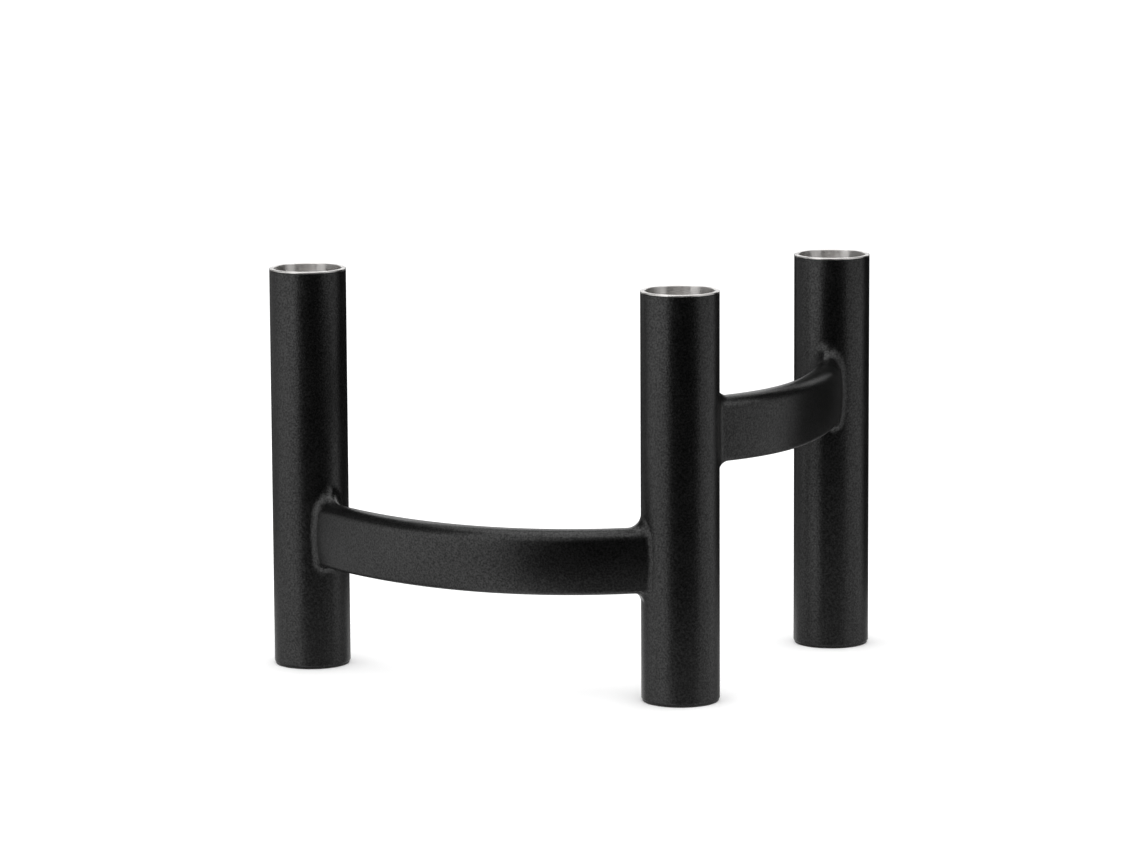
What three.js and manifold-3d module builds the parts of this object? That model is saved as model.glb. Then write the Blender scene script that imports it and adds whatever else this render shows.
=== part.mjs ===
// Tabletop candelabra: three round posts joined by two curved arms, with a lift-out cup for a candle in each
// post. Millimetres, +Z up, standing on z = 0.

import * as THREE from 'three';
import { mergeVertices } from 'three/addons/utils/BufferGeometryUtils.js';
import Module from 'manifold-3d';

// Posts: thick tube, bored wider at the top for the cup and at the bottom for the plug.
const POST_DIAMETER = 25.4;
const POST_FOOT_Z = 0.7;
const POST_TOP_Z = 132.6;
const POST_BORE = 19;
const CUP_SEAT_BORE = 23.8;
const CUP_SEAT_DEPTH = 27.5;
const PLUG_SEAT_BORE = 22.4;
const PLUG_SEAT_DEPTH = 9;
const POST_EDGE_ROUND = 0.5;

// Plan of the post axes. The origin is under the middle of the whole, on the table.
const POST_PLACES = {
  left: [-86.8, 9.5],
  middle: [38, -48],
  right: [86.8, 48],
};

// Direction of the arms' sweep where it passes each post, in degrees from +X.
const SWEEP_HEADING = { left: -59, middle: 22, right: 84 };

// Arms: a bar with a rounded top, flared where it meets a post.
const ARM_THICKNESS = 9.6;
const ARM_HEIGHT = 21;
const ARM_TOP_ROUND = 3.9;
const ARM_BOTTOM_ROUND = 1.5;
const ARM_FLARE = 4.2;
const ARMS = {
  arm_lower: { from: 'left', to: 'middle', fromZ: 45.4, toZ: 46.8, fromPull: 1.12, toPull: 1.04 },
  arm_upper: { from: 'middle', to: 'right', fromZ: 87.8, toZ: 87.8, fromPull: 1.08, toPull: 1.0 },
};

// Tenon on each end of an arm, which passes through a window in the post wall.
const TENON_WIDTH = 9;
const TENON_HEIGHT = 13;
const TENON_PAST_AXIS = 5.5;
const TENON_ROOT = 3;

// Candle cups, drawn from steel, hanging by their lips.
const CUP_BORE = 22.5;
const CUP_WALL = 0.4;
const CUP_DEPTH = 26;
const CUP_LIP = 0.5;
const CUP_TOP_Z = 133.2;
const CUP_CORNER = 1.5;
const LIP_CHAMFER = 0.15;

// Plug, bolt, washer and pad at the foot of each post.
const PLUG_RECESS_BORE = 10.8;
const PLUG_RECESS_DEPTH = 5;
const BOLT_DIAMETER = 5;
const BOLT_HEAD_DIAMETER = 8.5;
const BOLT_HEAD_HEIGHT = 2.8;
const BOLT_SOCKET = 4;
const BOLT_SOCKET_DEPTH = 1.8;
const BOLT_PAST_TENON = 1.5;
const BOLT_TIP_CHAMFER = 0.8;
const WASHER_DIAMETER = 10;
const WASHER_THICKNESS = 1;
const PAD_DIAMETER = 24.6;
const PAD_THICKNESS = 0.6;

// Clearance between pieces that touch on the real object.
const GAP = 0.3;

const ROUND_SIDES = 36;
const SMALL_SIDES = 18;
const CORNER_STEPS = 3;

const wasm = await Module();
wasm.setup();

const coat = () => new THREE.MeshStandardMaterial({ color: 0x1d1d1e, roughness: 0.7, metalness: 0.1 });
const steel = () => new THREE.MeshStandardMaterial({ color: 0xc4c2be, roughness: 0.22, metalness: 1 });
const zinc = () => new THREE.MeshStandardMaterial({ color: 0x8f9396, roughness: 0.4, metalness: 1 });
const felt = () => new THREE.MeshStandardMaterial({ color: 0x101010, roughness: 1, metalness: 0 });

function radians(degrees) {
  return THREE.MathUtils.degToRad(degrees);
}

// Joins equal corners, drops triangles with no area and turns the faces outwards.
function closed(geometry) {
  const bare = geometry.index ? geometry.toNonIndexed() : geometry;
  bare.deleteAttribute('normal');
  bare.deleteAttribute('uv');
  const merged = mergeVertices(bare, 1e-4);
  const corners = merged.index.array;
  const kept = [];
  let volume = 0;
  const [a, b, c] = [new THREE.Vector3(), new THREE.Vector3(), new THREE.Vector3()];
  for (let i = 0; i < corners.length; i += 3) {
    const [p, q, r] = corners.slice(i, i + 3);
    if (p === q || q === r || r === p) continue;
    kept.push([p, q, r]);
    a.fromBufferAttribute(merged.attributes.position, p);
    b.fromBufferAttribute(merged.attributes.position, q);
    c.fromBufferAttribute(merged.attributes.position, r);
    volume += a.dot(b.cross(c));
  }
  const outward = volume > 0 ? kept : kept.map(([p, q, r]) => [p, r, q]);
  merged.setIndex(outward.flat());
  return merged;
}

function toSolid(geometry) {
  const shape = closed(geometry);
  return new wasm.Manifold(new wasm.Mesh({
    numProp: 3,
    vertProperties: new Float32Array(shape.attributes.position.array),
    triVerts: new Uint32Array(shape.index.array),
  }));
}

function toGeometry(solid) {
  const mesh = solid.getMesh();
  const geometry = new THREE.BufferGeometry();
  geometry.setAttribute('position', new THREE.BufferAttribute(new Float32Array(mesh.vertProperties), 3));
  geometry.setIndex(new THREE.BufferAttribute(new Uint32Array(mesh.triVerts), 1));
  return geometry;
}

// Turns a profile of [radius, z] points about the Z axis.
function turned(profile, sides) {
  const points = profile.map(([radius, z]) => new THREE.Vector2(radius, z));
  return closed(new THREE.LatheGeometry(points, sides).rotateX(Math.PI / 2));
}

function ring(points) {
  return [...points, points[0]];
}

function cylinder(radius, fromZ, toZ, sides = ROUND_SIDES) {
  return turned([[0, fromZ], [radius, fromZ], [radius, toZ], [0, toZ]], sides);
}

// Points on a quarter round, from angle `start` through 90 degrees.
function quarter(centreX, centreY, radius, start) {
  const points = [];
  for (let step = 0; step <= CORNER_STEPS; step += 1) {
    const angle = radians(start + (90 * step) / CORNER_STEPS);
    points.push([centreX + radius * Math.cos(angle), centreY + radius * Math.sin(angle)]);
  }
  return points;
}

function armEndsAt(place) {
  const ends = [];
  for (const arm of Object.values(ARMS)) {
    if (arm.from === place) ends.push({ heading: SWEEP_HEADING[place], z: arm.fromZ });
    if (arm.to === place) ends.push({ heading: SWEEP_HEADING[place] + 180, z: arm.toZ });
  }
  return ends;
}

// A box that runs out from the post axis in the direction of an arm.
function radialBox({ heading, z }, width, height, fromReach, toReach) {
  const box = new THREE.BoxGeometry(toReach - fromReach, width, height);
  box.translate((fromReach + toReach) / 2, 0, 0);
  box.rotateZ(radians(heading));
  return box.translate(0, 0, z);
}

function postGeometry(place) {
  const outer = POST_DIAMETER / 2;
  const plugSeatZ = POST_FOOT_Z + PLUG_SEAT_DEPTH;
  const cupSeatZ = POST_TOP_Z - CUP_SEAT_DEPTH;
  const profile = ring([
    [PLUG_SEAT_BORE / 2, POST_FOOT_Z],
    ...quarter(outer - POST_EDGE_ROUND, POST_FOOT_Z + POST_EDGE_ROUND, POST_EDGE_ROUND, -90),
    [outer, POST_TOP_Z],
    [CUP_SEAT_BORE / 2, POST_TOP_Z],
    [CUP_SEAT_BORE / 2, cupSeatZ],
    [POST_BORE / 2, cupSeatZ],
    [POST_BORE / 2, plugSeatZ],
    [PLUG_SEAT_BORE / 2, plugSeatZ],
  ]);
  let tube = toSolid(turned(profile, ROUND_SIDES));
  for (const end of armEndsAt(place)) {
    const window = radialBox(end, TENON_WIDTH + 2 * GAP, TENON_HEIGHT + 2 * GAP, 1, POST_DIAMETER);
    tube = tube.subtract(toSolid(window));
  }
  return toGeometry(tube);
}

function cupGeometry() {
  const inner = CUP_BORE / 2;
  const outer = inner + CUP_WALL;
  const lip = POST_DIAMETER / 2;
  const floorZ = CUP_TOP_Z - CUP_DEPTH;
  const baseZ = floorZ - CUP_WALL;
  return turned([
    [0, baseZ],
    ...quarter(outer - CUP_CORNER, baseZ + CUP_CORNER, CUP_CORNER, -90),
    [outer, CUP_TOP_Z - CUP_LIP],
    [lip, CUP_TOP_Z - CUP_LIP],
    [lip, CUP_TOP_Z - LIP_CHAMFER],
    [lip - LIP_CHAMFER, CUP_TOP_Z],
    [inner + LIP_CHAMFER, CUP_TOP_Z],
    [inner, CUP_TOP_Z - LIP_CHAMFER],
    ...quarter(inner - CUP_CORNER, floorZ + CUP_CORNER, CUP_CORNER, -90).reverse(),
    [0, floorZ],
  ], ROUND_SIDES);
}

function plugGeometry() {
  const topZ = POST_FOOT_Z + PLUG_SEAT_DEPTH - GAP;
  const recessZ = POST_FOOT_Z + PLUG_RECESS_DEPTH;
  const hole = BOLT_DIAMETER / 2 + GAP;
  const outer = PLUG_SEAT_BORE / 2 - GAP;
  return turned(ring([
    [PLUG_RECESS_BORE / 2, POST_FOOT_Z],
    [outer, POST_FOOT_Z],
    [outer, topZ],
    [hole, topZ],
    [hole, recessZ],
    [PLUG_RECESS_BORE / 2, recessZ],
  ]), SMALL_SIDES);
}

function washerGeometry() {
  const topZ = POST_FOOT_Z + PLUG_RECESS_DEPTH - GAP;
  const hole = BOLT_DIAMETER / 2 + GAP;
  return turned(ring([
    [hole, topZ - WASHER_THICKNESS],
    [WASHER_DIAMETER / 2, topZ - WASHER_THICKNESS],
    [WASHER_DIAMETER / 2, topZ],
    [hole, topZ],
  ]), SMALL_SIDES);
}

// The bolt reaches through the highest tenon in its post.
function boltGeometry(place) {
  const tenonTops = armEndsAt(place).map((end) => end.z + TENON_HEIGHT / 2);
  const tipZ = Math.max(...tenonTops) + BOLT_PAST_TENON;
  const headTopZ = POST_FOOT_Z + PLUG_RECESS_DEPTH - 2 * GAP - WASHER_THICKNESS;
  const headFootZ = headTopZ - BOLT_HEAD_HEIGHT;
  const shank = BOLT_DIAMETER / 2;
  return turned([
    [0, headFootZ + BOLT_SOCKET_DEPTH],
    [BOLT_SOCKET / 2, headFootZ + BOLT_SOCKET_DEPTH],
    [BOLT_SOCKET / 2, headFootZ],
    [BOLT_HEAD_DIAMETER / 2, headFootZ],
    [BOLT_HEAD_DIAMETER / 2, headTopZ],
    [shank, headTopZ],
    [shank, tipZ - BOLT_TIP_CHAMFER],
    [shank - BOLT_TIP_CHAMFER, tipZ],
    [0, tipZ],
  ], SMALL_SIDES);
}

function padGeometry() {
  return cylinder(PAD_DIAMETER / 2, 0, PAD_THICKNESS);
}

// Outline of the arm's section: points across and up from its centre, with the outward direction at each.
function armOutline() {
  const corners = [
    { across: 1, up: -1, round: ARM_BOTTOM_ROUND, start: -90 },
    { across: 1, up: 1, round: ARM_TOP_ROUND, start: 0 },
    { across: -1, up: 1, round: ARM_TOP_ROUND, start: 90 },
    { across: -1, up: -1, round: ARM_BOTTOM_ROUND, start: 180 },
  ];
  const outline = [];
  for (const corner of corners) {
    const centreX = corner.across * (ARM_THICKNESS / 2 - corner.round);
    const centreY = corner.up * (ARM_HEIGHT / 2 - corner.round);
    for (const [x, y] of quarter(centreX, centreY, corner.round, corner.start)) {
      outline.push({ x, y, outX: (x - centreX) / corner.round, outY: (y - centreY) / corner.round });
    }
  }
  return outline;
}

function postPoint(place) {
  return new THREE.Vector3(...POST_PLACES[place], 0);
}

function armPath(arm) {
  const start = postPoint(arm.from);
  const finish = postPoint(arm.to);
  const startAngle = radians(SWEEP_HEADING[arm.from]);
  const finishAngle = radians(SWEEP_HEADING[arm.to]);
  const turn = finishAngle - startAngle;
  const handle = start.distanceTo(finish) / 3 / Math.cos(turn / 4) ** 2;
  const leave = new THREE.Vector3(Math.cos(startAngle), Math.sin(startAngle), 0);
  const arrive = new THREE.Vector3(Math.cos(finishAngle), Math.sin(finishAngle), 0);
  return new THREE.CubicBezierCurve3(
    start,
    start.clone().addScaledVector(leave, handle * arm.fromPull),
    finish.clone().addScaledVector(arrive, -handle * arm.toPull),
    finish,
  );
}

// Distances along an arm of the given length: close together in the flares, wide apart between them.
function armStations(length) {
  const reach = POST_DIAMETER / 2;
  const flareSteps = [-reach, -1, 0.3, 0.7, 1.2, 1.8, 2.6, 3.6, 5, 7];
  const near = flareSteps.map((step) => reach + step);
  const spanStart = near[near.length - 1];
  const spanEnd = length - spanStart;
  const middle = [];
  const spanSteps = 14;
  for (let step = 1; step < spanSteps; step += 1) {
    middle.push(spanStart + ((spanEnd - spanStart) * step) / spanSteps);
  }
  const far = near.map((distance) => length - distance).reverse();
  return [...near, ...middle, ...far];
}

// How far the section swells at a distance from the post's surface: a round fillet.
function flareAt(distance) {
  const inside = THREE.MathUtils.clamp(distance, 0, ARM_FLARE);
  return ARM_FLARE - Math.sqrt(ARM_FLARE ** 2 - (ARM_FLARE - inside) ** 2);
}

function armBarGeometry(arm) {
  const path = armPath(arm);
  const length = path.getLength();
  const outline = armOutline();
  const ends = [postPoint(arm.from), postPoint(arm.to)];
  const positions = [];
  const stations = armStations(length);
  for (const station of stations) {
    const share = station / length;
    const centre = path.getPointAt(share);
    const tangent = path.getTangentAt(share);
    const side = new THREE.Vector3(tangent.y, -tangent.x, 0);
    const centreZ = THREE.MathUtils.lerp(arm.fromZ, arm.toZ, share);
    for (const point of outline) {
      const edge = centre.clone().addScaledVector(side, point.x);
      const clearance = Math.min(...ends.map((end) => edge.distanceTo(end))) - POST_DIAMETER / 2;
      const swell = flareAt(clearance);
      edge.addScaledVector(side, point.outX * swell);
      positions.push(edge.x, edge.y, centreZ + point.y + point.outY * swell);
    }
  }
  const round = outline.length;
  const index = [];
  for (let ringIndex = 0; ringIndex < stations.length - 1; ringIndex += 1) {
    for (let corner = 0; corner < round; corner += 1) {
      const here = ringIndex * round + corner;
      const next = ringIndex * round + ((corner + 1) % round);
      index.push(here, next, next + round, here, next + round, here + round);
    }
  }
  const last = (stations.length - 1) * round;
  for (let corner = 1; corner < round - 1; corner += 1) {
    index.push(0, corner + 1, corner);
    index.push(last, last + corner, last + corner + 1);
  }
  const geometry = new THREE.BufferGeometry();
  geometry.setAttribute('position', new THREE.Float32BufferAttribute(positions, 3));
  geometry.setIndex(index);
  return geometry;
}

function armGeometry(arm) {
  let solid = toSolid(armBarGeometry(arm));
  for (const place of [arm.from, arm.to]) {
    const [x, y] = POST_PLACES[place];
    const saddle = cylinder(POST_DIAMETER / 2 + GAP, 0, POST_TOP_Z).translate(x, y, 0);
    solid = solid.subtract(toSolid(saddle));
    const outwards = place === arm.from ? 0 : 180;
    const end = {
      heading: SWEEP_HEADING[place] + outwards,
      z: place === arm.from ? arm.fromZ : arm.toZ,
    };
    const reach = POST_DIAMETER / 2 + TENON_ROOT;
    const tenon = radialBox(end, TENON_WIDTH, TENON_HEIGHT, -TENON_PAST_AXIS, reach).translate(x, y, 0);
    solid = solid.add(toSolid(tenon));
    const bore = cylinder(BOLT_DIAMETER / 2 + GAP, 0, POST_TOP_Z, SMALL_SIDES).translate(x, y, 0);
    solid = solid.subtract(toSolid(bore));
  }
  return toGeometry(solid);
}

function piece(name, geometry, material) {
  const mesh = new THREE.Mesh(geometry, material);
  mesh.name = name;
  return mesh;
}

const candelabra = new THREE.Group();

for (const [place, [x, y]] of Object.entries(POST_PLACES)) {
  const column = new THREE.Group();
  column.position.set(x, y, 0);
  column.add(
    piece(`post_${place}`, postGeometry(place), coat()),
    piece(`candle_cup_${place}`, cupGeometry(), steel()),
    piece(`base_plug_${place}`, plugGeometry(), zinc()),
    piece(`tie_washer_${place}`, washerGeometry(), zinc()),
    piece(`tie_bolt_${place}`, boltGeometry(place), zinc()),
    piece(`foot_pad_${place}`, padGeometry(), felt()),
  );
  candelabra.add(column);
}

for (const [name, arm] of Object.entries(ARMS)) {
  candelabra.add(piece(name, armGeometry(arm), coat()));
}

export default candelabra;
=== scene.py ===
"""Tabletop candelabra in black powder coat, with a lift-out steel candle cup in each of its three posts.

Metres, +Z up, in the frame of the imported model: each piece is built around the CAD node that it stands for.
"""

import math

import bmesh
import bpy
from mathutils import Matrix, Vector


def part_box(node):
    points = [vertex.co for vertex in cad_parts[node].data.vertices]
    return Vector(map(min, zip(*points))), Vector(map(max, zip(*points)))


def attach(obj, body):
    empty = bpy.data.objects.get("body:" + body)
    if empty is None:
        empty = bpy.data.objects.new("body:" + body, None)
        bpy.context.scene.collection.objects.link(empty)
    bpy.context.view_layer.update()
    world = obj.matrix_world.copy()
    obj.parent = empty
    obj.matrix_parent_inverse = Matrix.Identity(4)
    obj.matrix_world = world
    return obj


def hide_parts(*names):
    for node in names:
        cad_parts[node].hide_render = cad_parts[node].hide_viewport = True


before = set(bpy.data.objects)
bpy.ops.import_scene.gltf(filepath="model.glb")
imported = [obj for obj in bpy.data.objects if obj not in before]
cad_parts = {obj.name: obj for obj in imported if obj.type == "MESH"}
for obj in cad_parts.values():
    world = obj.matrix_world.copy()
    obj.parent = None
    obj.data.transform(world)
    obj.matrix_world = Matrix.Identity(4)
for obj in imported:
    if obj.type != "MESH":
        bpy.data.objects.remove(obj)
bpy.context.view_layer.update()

MM = 0.001
PLACES = ("left", "middle", "right")
UP = Vector((0, 0, 1))

# Posts: thick tube, bored wider at the top for the cup and at the bottom for the plug.
POST_BORE = 19 * MM
CUP_SEAT_BORE = 23.8 * MM
CUP_SEAT_DEPTH = 27.5 * MM
PLUG_SEAT_BORE = 22.4 * MM
PLUG_SEAT_DEPTH = 9 * MM
POST_FOOT_ROUND = 0.5 * MM
POST_TOP_ROUND = 0.12 * MM
POST_BORE_CHAMFER = 0.3 * MM
POST_SIDES = 180

# Arms: each follows a curve that leaves and reaches the post axes in these directions from +X. An arm has
# the posts at its ends, its height at each, how far each end of the curve is pulled out, and its top fillets.
SWEEP_HEADING = {"left": -59, "middle": 22, "right": 84}
ARMS = {
    "arm_lower": {
        "ends": ("left", "middle"),
        "heights": (45.4 * MM, 46.8 * MM),
        "pulls": (1.12, 1.04),
        "top_fillets": (7.6 * MM, 4.8 * MM),
    },
    "arm_upper": {
        "ends": ("middle", "right"),
        "heights": (87.8 * MM, 87.8 * MM),
        "pulls": (1.08, 1.0),
        "top_fillets": (4.2 * MM, 7.6 * MM),
    },
}
ARM_THICKNESS = 9.6 * MM
ARM_HEIGHT = 21 * MM
ARM_TOP_ROUND = 4.2 * MM
ARM_BOTTOM_ROUND = 1.6 * MM
ARM_FACE_RADIUS = 62 * MM
ARM_CORNER_STEPS = 14
ARM_FACE_STEPS = 10
FILLET_SIDE = 3.5 * MM
FILLET_BOTTOM = 3.8 * MM
FILLET_EDGE = 0.02 * MM
ARM_STEPS = 150
FILLET_STEPS = 16
SADDLE_STEPS = 4

# Tenon on each end of an arm, held by the tie bolt that passes through it.
TENON_WIDTH = 9 * MM
TENON_HEIGHT = 13 * MM
TENON_PAST_AXIS = 5.5 * MM
TENON_PLAY = 0.3 * MM
TENON_CORNER_SHARE = 0.97
BOLT_HOLE = 5.6 * MM
DRILL_FROM = -1 * MM
DRILL_TO = 120 * MM

# Candle cups, drawn from steel, hanging by their lips.
CUP_BORE = 22.5 * MM
CUP_WALL = 0.4 * MM
CUP_DEPTH = 26 * MM
CUP_LIP = 0.5 * MM
CUP_CORNER = 1.5 * MM
LIP_CHAMFER = 0.13 * MM
LIP_EDGE_ROUND = 0.08 * MM
CUP_SIDES = 192

# Plugs, washers and bolts inside the posts.
PLUG_RECESS_BORE = 10.8 * MM
PLUG_RECESS_DEPTH = 5 * MM
PLUG_CHAMFER = 0.4 * MM
WASHER_EDGE_ROUND = 0.2 * MM
BOLT_DIAMETER = 5 * MM
BOLT_HEAD_DIAMETER = 8.5 * MM
BOLT_HEAD_HEIGHT = 2.8 * MM
BOLT_HEAD_CHAMFER = 0.4 * MM
BOLT_HEX = 4 * MM
BOLT_HEX_DEPTH = 1.8 * MM
BOLT_TIP_CHAMFER = 0.8 * MM
THREAD_LENGTH = 22 * MM
THREAD_PITCH = 0.8 * MM
THREAD_DEPTH = 0.45 * MM
THREAD_STEPS = 8
SMALL_SIDES = 72

PAD_EDGE_ROUND = 0.22 * MM

# Studio: white floor and room, a softbox overhead, and, for reflections only, a glossy table with a painted
# pool of floor light and a tent.
# The tent is a box of sheets: two corners, light, and (axis, full at, faded at, share left) for each fade.
FLOOR_REACH = 12
FLOOR_TONE = 0.9
ROOM_LIGHT = 1.2
SOFTBOX_SIZE = (1.0, 1.1)
SOFTBOX_AT = (-0.05, -0.15, 0.99)
SOFTBOX_POWER = 5
TABLE_LIFT = 0.0002
# The table's glow is painted light: a pool of floor light, full in a band under the object and fading to
# nothing in front and behind.
TABLE_LIGHT = 0.28
TABLE_FADES = (("Y", -0.12, -0.25, 0), ("Y", 0.06, 0.14, 0))
TABLE_MIRROR = 0.65
TABLE_ROUGHNESS = 0.15
TENT = {
    "left_low": ((-0.6, -1, 0), (-0.6, 0.8, 0.26), 1.33, (("Y", -0.25, 0.35, 0.25),)),
    "left_high": ((-0.6, -1, 0.26), (-0.6, -0.28, 1), 1.5, ()),
    "left_high_back": ((-0.6, -0.28, 0.26), (-0.6, 0.8, 1), 0.12, ()),
    "right_low": ((0.5, -0.35, 0), (0.5, 0.2, 0.26), 0.72, (("Z", 0.1, 0.35, 0.05),)),
    "right_low_front": ((0.5, -1, 0), (0.5, -0.35, 0.26), 0, ()),
    "right_high_front": ((0.5, -1, 0.26), (0.5, -0.45, 1), 0.1, ()),
    "right_high": ((0.5, -0.45, 0.26), (0.5, 0.03, 1), 1.4, ()),
    "right_back": ((0.5, 0.03, 0.26), (0.5, 0.8, 1), 0.02, ()),
    "right_low_back": ((0.5, 0.2, 0), (0.5, 0.8, 0.26), 0.02, ()),
    "front_low": ((-0.6, -1, 0), (0.5, -1, 0.5), 0, ()),
    "front_high_left": ((-0.6, -1, 0.5), (-0.17, -1, 1), 1.5, ()),
    "front_high_right": ((-0.17, -1, 0.5), (0.5, -1, 1), 0.15, ()),
    "back_low": ((-0.6, 0.8, 0), (0.5, 0.8, 0.235), 0.28, (("Z", 0.2, 0.1, 0),)),
    "back_high": ((-0.6, 0.8, 0.235), (0.5, 0.8, 1), 1.3, ()),
    "ceiling": ((-0.6, -1, 1), (0.5, 0.8, 1), 0.3, ()),
}

# Camera: it looks this far clockwise from +Y and down, with a slight roll.
CAMERA_AT = (0.0784, -1.6119, 0.3363)
CAMERA_HEADING = math.radians(-2.77)
CAMERA_PITCH = math.radians(8.98)
CAMERA_ROLL = math.radians(-0.298)
CAMERA_LENS = 156.3
CAMERA_SENSOR = 36
CAMERA_CLIP = 0.05

# The lines turned in the steel change this slowly, in metres for each radian round the axis.
TURNED_LINE_STEP = 0.0004

SHARP_ANGLE = math.radians(32)


# ---- Mesh making ----

def quarter(centre_x, centre_y, radius, start, steps=6, sweep=90):
    """Points on an arc from `start` degrees, as (x, y) pairs."""
    angles = [math.radians(start + sweep * step / steps) for step in range(steps + 1)]
    return [(centre_x + radius * math.cos(a), centre_y + radius * math.sin(a)) for a in angles]


def ring_points(radius, z, sides):
    """A ring about the Z axis. The radius is a number or a function of the angle."""
    angles = [2 * math.pi * side / sides for side in range(sides)]
    reach = radius if callable(radius) else lambda angle: radius
    return [Vector((reach(a) * math.cos(a), reach(a) * math.sin(a), z)) for a in angles]


def skin(rings, closed=False, caps=False):
    """A bmesh over rings of the same number of points. A ring of one point is a pole."""
    bm = bmesh.new()
    rows = [[bm.verts.new(point) for point in ring] for ring in rings]
    pairs = list(zip(rows, rows[1:]))
    if closed:
        pairs.append((rows[-1], rows[0]))
    for lower, upper in pairs:
        count = max(len(lower), len(upper))
        for side in range(count):
            after = (side + 1) % count
            corners = [lower[side % len(lower)], lower[after % len(lower)]]
            corners += [upper[after % len(upper)], upper[side % len(upper)]]
            bm.faces.new(list(dict.fromkeys(corners)))
    if caps:
        bm.faces.new(rows[0])
        bm.faces.new(rows[-1])
    return bm


def lathe(profile, sides, closed=False):
    """A bmesh of (radius, z) pairs turned about the Z axis. A radius of 0 is a pole."""
    rings = []
    for radius, z in profile:
        rings.append([Vector((0, 0, z))] if radius == 0 else ring_points(radius, z, sides))
    return skin(rings, closed)


def piece(name, bm, place, body, material, node):
    """Makes the object, shades it smooth between sharp edges, and lets it stand for its CAD node."""
    bmesh.ops.recalc_face_normals(bm, faces=bm.faces)
    for face in bm.faces:
        face.smooth = True
    for edge in bm.edges:
        edge.smooth = edge.calc_face_angle(0) < SHARP_ANGLE
    mesh = bpy.data.meshes.new(name)
    bm.to_mesh(mesh)
    bm.free()
    made = bpy.data.objects.new(name, mesh)
    made.location = place
    bpy.context.scene.collection.objects.link(made)
    mesh.materials.append(material)
    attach(made, body)
    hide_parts(node)
    return made


def axis_of(place):
    """The foot of a post's axis, on the table."""
    low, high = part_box(f"post_{place}")
    centre = (low + high) / 2
    return Vector((centre.x, centre.y, 0))


def post_radius():
    """The outer radius of every post."""
    low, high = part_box("post_left")
    return (high.x - low.x) / 2


def arm_ends_at(place):
    """(direction out of the post, height) of each arm that meets it."""
    found = []
    for arm in ARMS.values():
        for end, height, turn in zip(arm["ends"], arm["heights"], (0, 180)):
            if end == place:
                found.append((math.radians(SWEEP_HEADING[place] + turn), height))
    return found


# ---- Posts ----

def cut_window(bm, heading, height):
    """Opens both walls of a post for a tenon, and joins the two openings by the window's sides."""
    half_width, half_height = TENON_WIDTH / 2 + TENON_PLAY, TENON_HEIGHT / 2 + TENON_PLAY
    outward = Vector((math.cos(heading), math.sin(heading), 0))
    through = []
    for face in bm.faces:
        centre = face.calc_center_median()
        beside = abs(outward.cross(centre).z)
        if centre.dot(outward) > 0 and beside < half_width and abs(centre.z - height) < half_height:
            through.append(face)
    bmesh.ops.delete(bm, geom=through, context="FACES")
    rim = [edge for edge in bm.edges if edge.is_boundary]
    bmesh.ops.bridge_loops(bm, edges=rim)


def window_rows(place):
    """The heights of the top and bottom edges of a post's windows, in rising order."""
    half = TENON_HEIGHT / 2 + TENON_PLAY
    return sorted(height + side * half for _, height in arm_ends_at(place) for side in (-1, 1))


def post_mesh(place):
    """A tube with a seat for the cup at the top, a seat for the plug at the foot, and its windows."""
    low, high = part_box(f"post_{place}")
    outer, bore, cup_seat, plug_seat = post_radius(), POST_BORE / 2, CUP_SEAT_BORE / 2, PLUG_SEAT_BORE / 2
    cup_seat_z = high.z - CUP_SEAT_DEPTH
    plug_seat_z = low.z + PLUG_SEAT_DEPTH
    rows = window_rows(place)
    profile = [(plug_seat, low.z + POST_BORE_CHAMFER), (plug_seat + POST_BORE_CHAMFER, low.z)]
    profile += quarter(outer - POST_FOOT_ROUND, low.z + POST_FOOT_ROUND, POST_FOOT_ROUND, -90)
    profile += [(outer, z) for z in rows]
    profile += quarter(outer - POST_TOP_ROUND, high.z - POST_TOP_ROUND, POST_TOP_ROUND, 0, steps=3)
    profile += [(cup_seat + POST_BORE_CHAMFER, high.z), (cup_seat, high.z - POST_BORE_CHAMFER)]
    profile += [(cup_seat, cup_seat_z), (bore + POST_BORE_CHAMFER, cup_seat_z)]
    profile += [(bore, cup_seat_z - POST_BORE_CHAMFER)]
    profile += [(bore, z) for z in reversed(rows)]
    profile += [(bore, plug_seat_z), (plug_seat, plug_seat_z)]
    bm = lathe(profile, POST_SIDES, closed=True)
    for heading, height in arm_ends_at(place):
        cut_window(bm, heading, height)
    return bm


# ---- Arms ----

def arm_side():
    """One side of the arm's section, with a crowned face: (point, outward direction), bottom to top."""
    half_width, half_height = ARM_THICKNESS / 2, ARM_HEIGHT / 2
    face_centre = Vector((half_width - ARM_FACE_RADIUS, 0))
    rounds, turns = [], [-90]
    for up, round_radius in ((-1, ARM_BOTTOM_ROUND), (1, ARM_TOP_ROUND)):
        reach = ARM_FACE_RADIUS - round_radius
        y = up * (half_height - round_radius)
        turn = math.asin(y / reach)
        rounds.append((Vector((face_centre.x + reach * math.cos(turn), y)), round_radius))
        turns.append(math.degrees(turn))
    arcs = [(*rounds[0], ARM_CORNER_STEPS), (face_centre, ARM_FACE_RADIUS, ARM_FACE_STEPS)]
    arcs.append((*rounds[1], ARM_CORNER_STEPS))
    side = []
    for (centre, radius, steps), start, stop in zip(arcs, turns, turns[1:] + [90]):
        for x, y in quarter(centre.x, centre.y, radius, start, steps, stop - start)[bool(side):]:
            point = Vector((x, y))
            side.append((point, (point - centre).normalized()))
    return side


def arm_outline():
    """The arm's section as (point, outward direction) pairs, anticlockwise from its foot."""
    right = arm_side()
    mirror = [(Vector((-point.x, point.y)), Vector((-out.x, out.y))) for point, out in reversed(right)]
    return right + mirror


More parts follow.
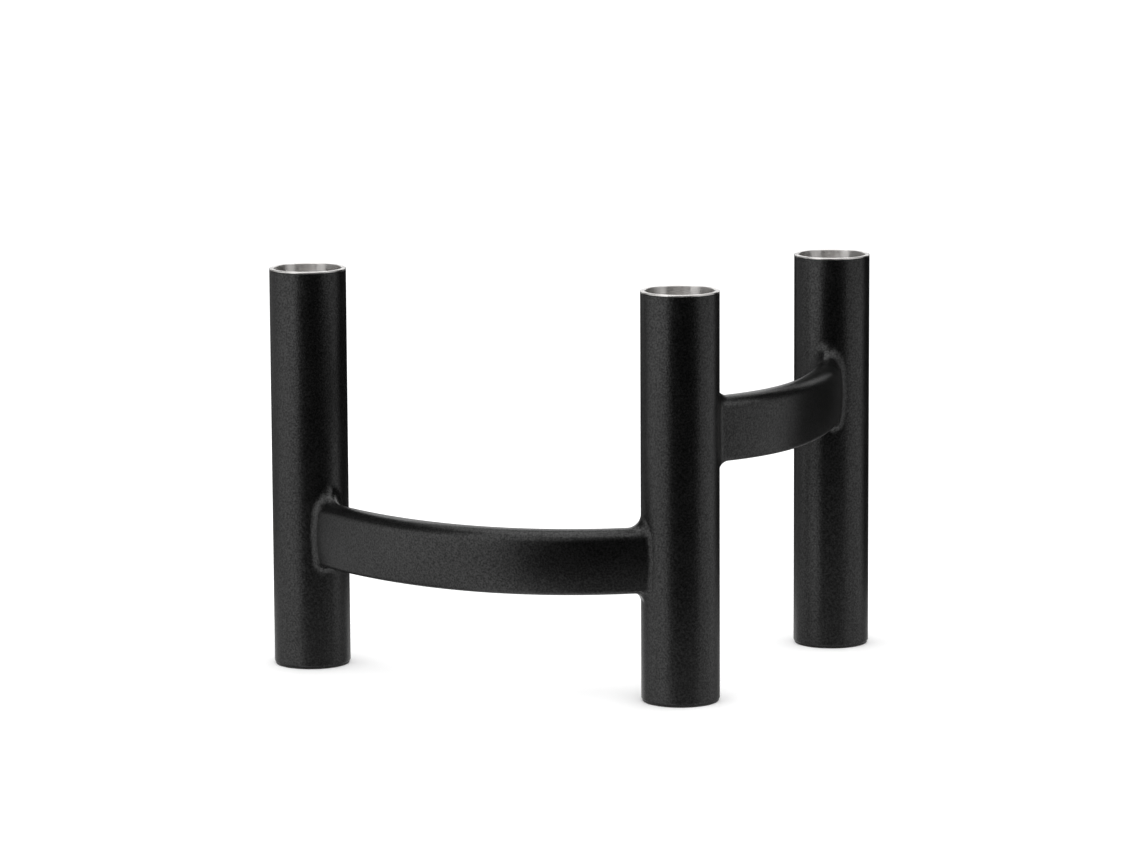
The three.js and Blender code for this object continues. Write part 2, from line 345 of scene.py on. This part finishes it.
def tenon_outline(outline):
    """The point on the tenon's rectangular section that matches each point of the arm's section."""
    half = Vector((TENON_WIDTH / 2, TENON_HEIGHT / 2))
    sides = [point for point, out in outline if abs(out.x) >= abs(out.y)]
    limit_x = min(point.x for point in sides if point.x > 0)
    limit_top = max(point.y for point in sides)
    limit_foot = min(point.y for point in sides)
    matched = []
    for point, out in outline:
        if abs(out.x) >= abs(out.y):
            share = (point.y - limit_foot) / (limit_top - limit_foot)
            matched.append(Vector((math.copysign(half.x, out.x), -half.y + 2 * half.y * share)))
        else:
            share = point.x / limit_x
            x = max(-TENON_CORNER_SHARE, min(TENON_CORNER_SHARE, share)) * half.x
            matched.append(Vector((x, math.copysign(half.y, out.y))))
    return matched


def fillet_radius(out, top_fillet):
    """The fillet round an arm's end has its own radius on top."""
    edge = top_fillet if out.y > 0 else FILLET_BOTTOM
    return FILLET_SIDE + (edge - FILLET_SIDE) * out.y ** 2


class ArmPath:
    """The cubic curve in plan that an arm's middle follows, from one post's axis to the next one's."""

    def __init__(self, arm):
        self.ends = [axis_of(place) for place in arm["ends"]]
        self.heights = arm["heights"]
        angles = [math.radians(SWEEP_HEADING[place]) for place in arm["ends"]]
        turn = angles[1] - angles[0]
        handle = (self.ends[1] - self.ends[0]).length / 3 / math.cos(turn / 4) ** 2
        leave, arrive = (Vector((math.cos(a), math.sin(a), 0)) for a in angles)
        self.points = [
            self.ends[0],
            self.ends[0] + leave * handle * arm["pulls"][0],
            self.ends[1] - arrive * handle * arm["pulls"][1],
            self.ends[1],
        ]

    def frame_at(self, t):
        """Middle of the section, direction of travel and direction across, at share t of the curve."""
        a, b, c, d = self.points
        s = 1 - t
        middle = a * s**3 + b * 3 * s * s * t + c * 3 * s * t * t + d * t**3
        travel = ((b - a) * s * s + (c - b) * 2 * s * t + (d - c) * t * t).normalized()
        height = self.heights[0] * s + self.heights[1] * t
        return middle + UP * height, travel, Vector((travel.y, -travel.x, 0))

    def place(self, t, across, up):
        middle, _, side = self.frame_at(t)
        return middle + side * across + UP * up

    def share_at_reach(self, end, across, reach):
        """Where a line beside the path is `reach` away from the axis of the post at that end."""
        near, far = (0, 0.5) if end == 0 else (1, 0.5)
        for _ in range(40):
            t = (near + far) / 2
            point = self.place(t, across, 0)
            gap = math.hypot(point.x - self.ends[end].x, point.y - self.ends[end].y)
            near, far = (t, far) if gap < reach else (near, t)
        return (near + far) / 2


def fillet_rings(path, end, outline, shares, top_fillet):
    """Rings of the round fillet between the arm and a post, from the post's surface outwards."""
    columns = []
    for (point, out), t in zip(outline, shares):
        _, _, side = path.frame_at(t)
        radius = fillet_radius(out, top_fillet)
        outward = side * out.x + UP * out.y
        ball = path.place(t, point.x, point.y) + outward * radius
        to_axis = path.ends[end] - ball
        to_axis.z = 0
        to_axis.normalize()
        to_arm = -outward
        turn = to_axis.angle(to_arm)
        column = []
        for step in range(FILLET_STEPS):
            share = step / FILLET_STEPS
            from_axis = math.sin((1 - share) * turn) / math.sin(turn)
            from_arm = math.sin(share * turn) / math.sin(turn)
            column.append(ball + (to_axis * from_axis + to_arm * from_arm) * radius)
        columns.append(column)
    return [list(ring) for ring in zip(*columns)]


def tenon_rings(path, end, outline, root_ring, radius):
    """Rings from the arm's edge on the post, over the saddle, to the free end of the tenon."""
    axis = path.ends[end]
    _, travel, side = path.frame_at(end)
    inward = -travel if end == 0 else travel
    height = UP * path.heights[end]
    rect = tenon_outline(outline)
    roots = [axis + height + side * p.x + UP * p.y - inward * math.sqrt(radius**2 - p.x**2) for p in rect]
    rings = []
    for step in range(1, SADDLE_STEPS + 1):
        ring = []
        for edge, root in zip(root_ring, roots):
            point = edge.lerp(root, step / SADDLE_STEPS)
            out = Vector((point.x - axis.x, point.y - axis.y, 0)).normalized()
            ring.append(axis + out * radius + UP * point.z)
        rings.append(ring)
    rings.append([axis + height + side * p.x + UP * p.y + inward * TENON_PAST_AXIS for p in rect])
    return rings


def arm_mesh(name):
    """One arm: a tenon, a fillet, the span, a fillet and a tenon, in one closed skin."""
    path = ArmPath(ARMS[name])
    outline = arm_outline()
    surface = post_radius() + FILLET_EDGE
    top_fillets = ARMS[name]["top_fillets"]
    shares = []
    for end in (0, 1):
        reaches = []
        for point, out in outline:
            radius = fillet_radius(out, top_fillets[end])
            reaches.append(path.share_at_reach(end, point.x + out.x * radius, surface + radius))
        shares.append(reaches)
    fillets = [fillet_rings(path, end, outline, shares[end], top_fillets[end]) for end in (0, 1)]
    root_surface = post_radius() + FILLET_EDGE / 4
    tenons = [tenon_rings(path, end, outline, fillets[end][0], root_surface) for end in (0, 1)]
    span = []
    for step in range(ARM_STEPS + 1):
        ring = []
        for (point, _), first, last in zip(outline, *shares):
            t = first + (last - first) * step / ARM_STEPS
            ring.append(path.place(t, point.x, point.y))
        span.append(ring)
    return skin(tenons[0][::-1] + fillets[0] + span + fillets[1][::-1] + tenons[1], caps=True)


def bore_tenons(arm, places):
    """Drills the hole for the tie bolt through each tenon."""
    for place in places:
        profile = [(0, DRILL_FROM), (BOLT_HOLE / 2, DRILL_FROM), (BOLT_HOLE / 2, DRILL_TO), (0, DRILL_TO)]
        bm = lathe(profile, SMALL_SIDES)
        bmesh.ops.recalc_face_normals(bm, faces=bm.faces)
        mesh = bpy.data.meshes.new("drill")
        bm.to_mesh(mesh)
        bm.free()
        drill = bpy.data.objects.new("drill", mesh)
        drill.location = axis_of(place)
        bpy.context.scene.collection.objects.link(drill)
        cut = arm.modifiers.new("bolt_hole", "BOOLEAN")
        cut.operation = "DIFFERENCE"
        cut.solver = "EXACT"
        cut.object = drill
        bpy.context.view_layer.update()
        seen = arm.evaluated_get(bpy.context.evaluated_depsgraph_get())
        drilled = bpy.data.meshes.new_from_object(seen)
        arm.modifiers.remove(cut)
        old = arm.data
        arm.data = drilled
        bpy.data.meshes.remove(old)
        bpy.data.objects.remove(drill)
        bpy.data.meshes.remove(mesh)


# ---- Candle cups ----

def cup_mesh(place):
    """A thin-walled cup with a round corner inside and a lip that rests on the post."""
    low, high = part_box(f"candle_cup_{place}")
    lip = (high.x - low.x) / 2
    inner, outer = CUP_BORE / 2, CUP_BORE / 2 + CUP_WALL
    floor_z = high.z - CUP_DEPTH
    lip_foot = high.z - CUP_LIP
    outer_corner = CUP_CORNER + CUP_WALL
    profile = [(0, low.z), (outer / 2, low.z)]
    profile += quarter(outer - outer_corner, low.z + outer_corner, outer_corner, -90, steps=10)
    profile += [(outer, lip_foot)]
    profile += quarter(lip - LIP_EDGE_ROUND, lip_foot + LIP_EDGE_ROUND, LIP_EDGE_ROUND, -90, steps=3)
    profile += [(lip, high.z - LIP_CHAMFER), (lip - LIP_CHAMFER, high.z)]
    profile += [(inner + LIP_CHAMFER, high.z), (inner, high.z - LIP_CHAMFER)]
    profile += quarter(inner - CUP_CORNER, floor_z + CUP_CORNER, CUP_CORNER, 0, steps=10, sweep=-90)
    profile += [(inner / 2, floor_z), (0, floor_z)]
    return lathe(profile, CUP_SIDES)


# ---- Plugs, washers, bolts and pads ----

def plug_mesh(place):
    """A turned plug with a hole for the bolt and a recess below for its head."""
    low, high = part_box(f"base_plug_{place}")
    outer = (high.x - low.x) / 2
    recess, hole = PLUG_RECESS_BORE / 2, BOLT_HOLE / 2
    recess_z = low.z + PLUG_RECESS_DEPTH
    profile = [(recess, low.z + PLUG_CHAMFER), (recess + PLUG_CHAMFER, low.z)]
    profile += [(outer - PLUG_CHAMFER, low.z), (outer, low.z + PLUG_CHAMFER)]
    profile += [(outer, high.z - PLUG_CHAMFER), (outer - PLUG_CHAMFER, high.z)]
    profile += [(hole + PLUG_CHAMFER, high.z), (hole, high.z - PLUG_CHAMFER)]
    profile += [(hole, recess_z), (recess, recess_z)]
    return lathe(profile, SMALL_SIDES, closed=True)


def washer_mesh(place):
    """A washer with rounded outer edges."""
    low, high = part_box(f"tie_washer_{place}")
    outer, hole = (high.x - low.x) / 2, BOLT_HOLE / 2
    edge = WASHER_EDGE_ROUND
    profile = [(hole, high.z), (hole, low.z)]
    profile += quarter(outer - edge, low.z + edge, edge, -90, steps=4)
    profile += quarter(outer - edge, high.z - edge, edge, 0, steps=4)
    return lathe(profile, SMALL_SIDES, closed=True)


def hexagon(across_flats):
    """The reach of a hexagon's side at an angle."""
    sixth = math.pi / 3
    return lambda angle: across_flats / 2 / math.cos((angle + sixth / 2) % sixth - sixth / 2)


def thread_rings(shank, from_z, to_z):
    """Rings of a screw thread that starts and ends shallow."""
    rings = []
    steps = round((to_z - from_z) / THREAD_PITCH * THREAD_STEPS)
    for step in range(steps + 1):
        z = from_z + (to_z - from_z) * step / steps
        fade = min(1, step / THREAD_STEPS, (steps - step) / THREAD_STEPS)

        def reach(angle, turns=z / THREAD_PITCH, fade=fade):
            wave = (1 - math.cos(2 * math.pi * turns - angle)) / 2
            return shank - THREAD_DEPTH * fade * wave

        rings.append((reach, z))
    return rings


def bolt_mesh(place):
    """A bolt, head down, with a hexagon socket and a thread at its far end."""
    low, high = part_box(f"tie_bolt_{place}")
    shank, head = BOLT_DIAMETER / 2, BOLT_HEAD_DIAMETER / 2
    head_top = low.z + BOLT_HEAD_HEIGHT
    thread_end = high.z - BOLT_TIP_CHAMFER
    profile = [(0, low.z + BOLT_HEX_DEPTH), (hexagon(BOLT_HEX), low.z + BOLT_HEX_DEPTH)]
    profile += [(hexagon(BOLT_HEX), low.z + BOLT_HEAD_CHAMFER / 2)]
    profile += [(hexagon(BOLT_HEX + BOLT_HEAD_CHAMFER), low.z), (head - BOLT_HEAD_CHAMFER, low.z)]
    profile += [(head, low.z + BOLT_HEAD_CHAMFER), (head, head_top - BOLT_HEAD_CHAMFER / 4)]
    profile += [(head - BOLT_HEAD_CHAMFER / 4, head_top), (shank, head_top)]
    profile += thread_rings(shank, thread_end - THREAD_LENGTH, thread_end)
    profile += [(shank - BOLT_TIP_CHAMFER, high.z), (0, high.z)]
    return lathe(profile, SMALL_SIDES)


def pad_mesh(place):
    """A round felt pad with soft edges."""
    low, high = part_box(f"foot_pad_{place}")
    outer, edge = (high.x - low.x) / 2, PAD_EDGE_ROUND
    profile = [(0, low.z), (outer / 2, low.z)]
    profile += quarter(outer - edge, low.z + edge, edge, -90)
    profile += quarter(outer - edge, high.z - edge, edge, 0)
    profile += [(outer / 2, high.z), (0, high.z)]
    return lathe(profile, POST_SIDES)


# ---- Materials ----

def add(tree, kind, inputs=(), **settings):
    """Adds a shader node. An input is a plain value, or the output of another node."""
    node = tree.nodes.new(f"ShaderNode{kind}")
    for key, value in settings.items():
        setattr(node, key, value)
    for key, value in dict(inputs).items():
        if isinstance(value, bpy.types.NodeSocket):
            tree.links.new(value, node.inputs[key])
        else:
            node.inputs[key].default_value = value
    return node


def new_material(name):
    """An empty node material: its tree, its Principled shader and the object's own coordinates."""
    material = bpy.data.materials.new(name)
    material.use_nodes = True
    tree = material.node_tree
    shader = tree.nodes["Principled BSDF"]
    coords = add(tree, "TexCoord").outputs["Object"]
    return material, tree, shader, coords


def noise(tree, coords, scale, detail=2.0, roughness=0.5):
    inputs = {"Vector": coords, "Scale": scale, "Detail": detail, "Roughness": roughness}
    return add(tree, "TexNoise", inputs).outputs["Fac"]


def spread(tree, value, to_min, to_max, from_min=0.3, from_max=0.7):
    inputs = {"Value": value, "From Min": from_min, "From Max": from_max, "To Min": to_min, "To Max": to_max}
    return add(tree, "MapRange", inputs).outputs["Result"]


def two_tone(tree, value, dark, light, low=0.35, high=0.65):
    ramp = add(tree, "ValToRGB", {"Fac": value})
    for stop, place, tone in zip(ramp.color_ramp.elements, (low, high), (dark, light)):
        stop.position = place
        stop.color = (*tone, 1)
    return ramp.outputs["Color"]


def plug_in(tree, shader, name, value):
    tree.links.new(value, shader.inputs[name])


def powder_coat():
    """Black textured powder coat: a fine pebbled skin with slightly uneven gloss."""
    material, tree, shader, coords = new_material("powder_coat")
    grain = noise(tree, coords, scale=2300, detail=2, roughness=0.6)
    cells = {"Vector": coords, "Scale": 1800, "Smoothness": 1}
    pebbles = add(tree, "TexVoronoi", cells, feature="SMOOTH_F1")
    height = add(tree, "Math", {0: grain, 1: pebbles.outputs["Distance"]}, operation="SUBTRACT")
    bump = add(tree, "Bump", {"Height": height.outputs[0], "Strength": 1, "Distance": 0.04 * MM})
    clouds = noise(tree, coords, scale=70, detail=4)
    specks = noise(tree, coords, scale=1700, detail=1)
    tone = two_tone(tree, specks, (0.0001, 0.0001, 0.0001), (0.0012, 0.0012, 0.0012), low=0.45, high=0.75)
    plug_in(tree, shader, "Base Color", tone)
    plug_in(tree, shader, "Specular IOR Level", spread(tree, specks, 0.3, 0.7))
    plug_in(tree, shader, "Roughness", spread(tree, clouds, 0.29, 0.34))
    plug_in(tree, shader, "Normal", bump.outputs["Normal"])
    return material


def turned_steel():
    """Stainless steel turned on a lathe: fine lines round the axis draw the reflections out along it."""
    material, tree, shader, coords = new_material("turned_steel")
    split = add(tree, "SeparateXYZ", {"Vector": coords}).outputs
    reach = add(tree, "Math", {0: split["X"], 1: split["Y"]}, operation="ARCTAN2").outputs[0]
    flat = add(tree, "CombineXYZ", {"X": split["X"], "Y": split["Y"]}).outputs[0]
    radius = add(tree, "VectorMath", {0: flat}, operation="LENGTH").outputs["Value"]
    along = add(tree, "Math", {0: radius, 1: split["Z"]}).outputs[0]
    around = add(tree, "Math", {0: reach, 1: TURNED_LINE_STEP}, operation="MULTIPLY").outputs[0]
    lines_at = add(tree, "CombineXYZ", {"X": around, "Y": along}).outputs[0]
    lines = noise(tree, lines_at, scale=9000, detail=3, roughness=0.7)
    bump = add(tree, "Bump", {"Height": lines, "Strength": 0.25, "Distance": 0.004 * MM})
    tangent = add(tree, "Tangent", direction_type="RADIAL", axis="Z")
    shader.inputs["Metallic"].default_value = 1
    shader.inputs["Anisotropic"].default_value = 1
    shader.inputs["Anisotropic Rotation"].default_value = 0.25
    plug_in(tree, shader, "Base Color", two_tone(tree, lines, (0.70, 0.68, 0.66), (0.84, 0.83, 0.82)))
    plug_in(tree, shader, "Roughness", spread(tree, lines, 0.28, 0.34))
    plug_in(tree, shader, "Normal", bump.outputs["Normal"])
    plug_in(tree, shader, "Tangent", tangent.outputs["Tangent"])
    return material


def zinc_plate():
    """Zinc-plated steel: grey, satin, with a faint cloudy passivation."""
    material, tree, shader, coords = new_material("zinc_plate")
    clouds = noise(tree, coords, scale=160, detail=5, roughness=0.6)
    specks = noise(tree, coords, scale=2600, detail=2)
    bump = add(tree, "Bump", {"Height": specks, "Strength": 0.3, "Distance": 0.01 * MM})
    shader.inputs["Metallic"].default_value = 1
    plug_in(tree, shader, "Base Color", two_tone(tree, clouds, (0.40, 0.42, 0.45), (0.60, 0.60, 0.57)))
    plug_in(tree, shader, "Roughness", spread(tree, specks, 0.32, 0.48))
    plug_in(tree, shader, "Normal", bump.outputs["Normal"])
    return material


def felt():
    """Dense black felt with matted fibres."""
    material, tree, shader, coords = new_material("felt")
    fibres = noise(tree, coords, scale=3200, detail=5, roughness=0.75)
    clumps = noise(tree, coords, scale=420, detail=3)
    height = add(tree, "Math", {0: fibres, 1: clumps})
    bump = add(tree, "Bump", {"Height": height.outputs[0], "Strength": 0.9, "Distance": 0.08 * MM})
    shader.inputs["Sheen Weight"].default_value = 0.15
    shader.inputs["Sheen Roughness"].default_value = 0.6
    plug_in(tree, shader, "Base Color", two_tone(tree, fibres, (0.004, 0.004, 0.004), (0.016, 0.016, 0.016)))
    plug_in(tree, shader, "Roughness", spread(tree, fibres, 0.85, 1.0))
    plug_in(tree, shader, "Normal", bump.outputs["Normal"])
    return material


# ---- Studio ----

def look_along(heading, pitch, roll):
    """Turns something that looks along -Z: heading clockwise from +Y, pitch down from the horizon."""
    turn = Matrix.Rotation(-heading, 4, "Z") @ Matrix.Rotation(math.pi / 2 - pitch, 4, "X")
    return (turn @ Matrix.Rotation(roll, 4, "Z")).to_euler()


def paper(name, tone):
    """Matt white paper."""
    material = bpy.data.materials.new(name)
    material.use_nodes = True
    shader = material.node_tree.nodes["Principled BSDF"]
    shader.inputs["Base Color"].default_value = (tone, tone, tone, 1)
    shader.inputs["Roughness"].default_value = 1
    shader.inputs["Specular IOR Level"].default_value = 0
    return material


def glow(name, light, fades, mirror=0.0):
    """Light that fades along axes, from full at one coordinate to a share at another. It may mirror too."""
    material = bpy.data.materials.new(name)
    material.use_nodes = True
    tree = material.node_tree
    tree.nodes.clear()
    split = add(tree, "SeparateXYZ", {"Vector": add(tree, "TexCoord").outputs["Object"]}).outputs
    strength = add(tree, "Value").outputs[0]
    strength.default_value = light
    for axis, full_at, faded_at, share in fades:
        inputs = {"Value": split[axis], "From Min": full_at, "From Max": faded_at}
        inputs.update({"To Min": 1, "To Max": share})
        fade = add(tree, "MapRange", inputs, interpolation_type="SMOOTHSTEP").outputs["Result"]
        strength = add(tree, "Math", {0: strength, 1: fade}, operation="MULTIPLY").outputs[0]
    shine = add(tree, "Emission", {"Strength": strength}).outputs[0]
    mirrored = {"Color": (mirror, mirror, mirror, 1), "Roughness": TABLE_ROUGHNESS}
    gloss = add(tree, "BsdfGlossy", mirrored).outputs[0]
    both = add(tree, "AddShader", {0: shine, 1: gloss}).outputs[0]
    add(tree, "OutputMaterial", {"Surface": both})
    return material


def sheet(name, low, high, material):
    """A flat sheet of the studio between two corners that share one coordinate."""
    flat = next(axis for axis in range(3) if low[axis] == high[axis])
    across, up = (axis for axis in range(3) if axis != flat)
    corners = []
    for at_across, at_up in ((low, low), (high, low), (high, high), (low, high)):
        corner = list(low)
        corner[across] = at_across[across]
        corner[up] = at_up[up]
        corners.append(corner)
    mesh = bpy.data.meshes.new(name)
    mesh.from_pydata(corners, [], [(0, 1, 2, 3)])
    mesh.materials.append(material)
    made = bpy.data.objects.new(name, mesh)
    bpy.context.scene.collection.objects.link(made)
    return made


def show_to_gloss_only(made):
    """Hides a sheet from the camera and from all but glossy reflections."""
    made.visible_camera = False
    made.visible_diffuse = False
    made.visible_shadow = False


def make_tent():
    """A tent of lit and dark sheets on a glossy table with a painted pool of floor light, which only the
    object's reflections see.
    """
    for name, (low, high, light, fades) in TENT.items():
        show_to_gloss_only(sheet(name, low, high, glow(name, light, fades)))
    (left, front, _), (right, back, _) = TENT["ceiling"][:2]
    # The table's emission is a painted pool of floor light. Its gloss is a real mirror.
    painted_light_table = glow("painted_light_table", TABLE_LIGHT, TABLE_FADES, TABLE_MIRROR)
    show_to_gloss_only(sheet("painted_light_table", (left, front, TABLE_LIFT), (right, back, TABLE_LIFT), painted_light_table))


def make_softbox():
    """The soft light overhead."""
    data = bpy.data.lights.new("softbox", "AREA")
    data.shape = "RECTANGLE"
    data.size, data.size_y = SOFTBOX_SIZE
    data.energy = SOFTBOX_POWER
    softbox = bpy.data.objects.new("softbox", data)
    softbox.location = SOFTBOX_AT
    softbox.visible_camera = False
    bpy.context.scene.collection.objects.link(softbox)


def make_studio():
    """A white floor in a white room, the softbox, and the tent."""
    reach = FLOOR_REACH
    sheet("floor", (-reach, -reach, 0), (reach, reach, 0), paper("floor_paper", FLOOR_TONE))
    world = bpy.data.worlds.new("white_room")
    world.use_nodes = True
    background = world.node_tree.nodes["Background"]
    background.inputs["Color"].default_value = (1, 1, 1, 1)
    background.inputs["Strength"].default_value = ROOM_LIGHT
    bpy.context.scene.world = world
    bpy.context.scene.view_settings.view_transform = "Standard"
    make_softbox()
    make_tent()


def make_camera():
    """The camera, at the photograph's viewing angle."""
    data = bpy.data.cameras.new("camera")
    data.lens = CAMERA_LENS
    data.sensor_width = CAMERA_SENSOR
    data.clip_start = CAMERA_CLIP
    camera = bpy.data.objects.new("camera", data)
    camera.location = CAMERA_AT
    camera.rotation_euler = look_along(CAMERA_HEADING, CAMERA_PITCH, CAMERA_ROLL)
    bpy.context.scene.collection.objects.link(camera)
    bpy.context.scene.camera = camera


# ---- The object ----

def make_columns(finishes):
    """The post, cup, plug, washer, bolt and pad at each place."""
    pieces = [
        ("post", post_mesh, "frame", "powder_coat"),
        ("candle_cup", cup_mesh, "cup", "cup_steel"),
        ("base_plug", plug_mesh, "frame", "zinc_steel"),
        ("tie_washer", washer_mesh, "frame", "zinc_steel"),
        ("tie_bolt", bolt_mesh, "frame", "zinc_steel"),
        ("foot_pad", pad_mesh, "frame", "felt"),
    ]
    for place in PLACES:
        for kind, mesh_of, body, slot in pieces:
            node = f"{kind}_{place}"
            rides_on = f"cup_{place}" if body == "cup" else body
            piece(f"{node}_fine", mesh_of(place), axis_of(place), rides_on, finishes[slot], node)


def make_arms(finishes):
    """Both arms, with their tenons drilled for the tie bolts."""
    coat = "powder_coat"
    for name, arm in ARMS.items():
        made = piece(f"{name}_fine", arm_mesh(name), Vector(), "frame", finishes[coat], name)
        bore_tenons(made, arm["ends"])


make_studio()
make_camera()
finishes = {
    "powder_coat": powder_coat(),
    "cup_steel": turned_steel(),
    "zinc_steel": zinc_plate(),
    "felt": felt(),
}
make_columns(finishes)
make_arms(finishes)
